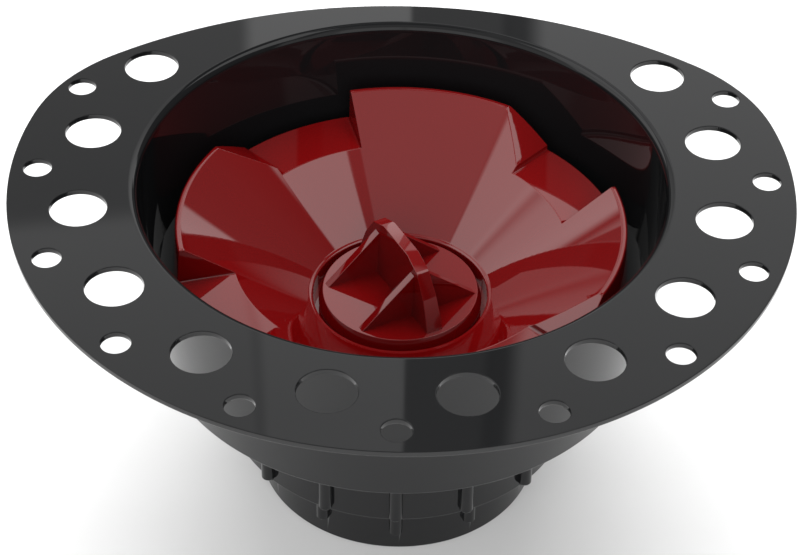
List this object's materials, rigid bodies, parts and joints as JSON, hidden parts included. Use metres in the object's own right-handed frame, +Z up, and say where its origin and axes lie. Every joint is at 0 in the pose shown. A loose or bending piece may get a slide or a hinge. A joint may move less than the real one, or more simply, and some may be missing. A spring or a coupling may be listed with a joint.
{
  "type": "bathtub drain",
  "caption": "Floor drain body for a freestanding bathtub: pierced flange, deep bowl and stepped tail with a pipe socket, fitted with its removable funnel-shaped test insert and turning knob.",
  "frame": {"origin": "centre of the tail's open end, where the waste pipe enters the socket", "axes": "+Z up along the drain's axis, -Z out of the pipe socket; +Y towards the flatter back edge of the flange, +X to the right seen from the front"},
  "size_m": [0.1822, 0.1616, 0.0893],
  "materials": {
    "black_plastic": "glossy moulded",
    "red_plastic": "glossy moulded",
    "seal_rubber": "soft matte"
  },
  "bodies": {
    "drain": {"drain_body": "black_plastic", "tailpiece_gasket": "seal_rubber", "gasket_retainer": "black_plastic"},
    "insert": {"test_insert": "red_plastic"},
    "knob": {"plug_knob": "red_plastic", "knob_seal": "seal_rubber"}
  },
  "joints": [
    {"name": "insert_lift", "type": "slide", "parent": "drain", "child": "insert", "axis": [0, 0, 1], "range_m": [0, 0.05]},
    {"name": "knob_turn", "type": "hinge", "parent": "insert", "child": "knob", "pos_m": [0, 0, 0.0506], "axis": [0, 0, 1], "range_deg": [0, 90]}
  ]
}
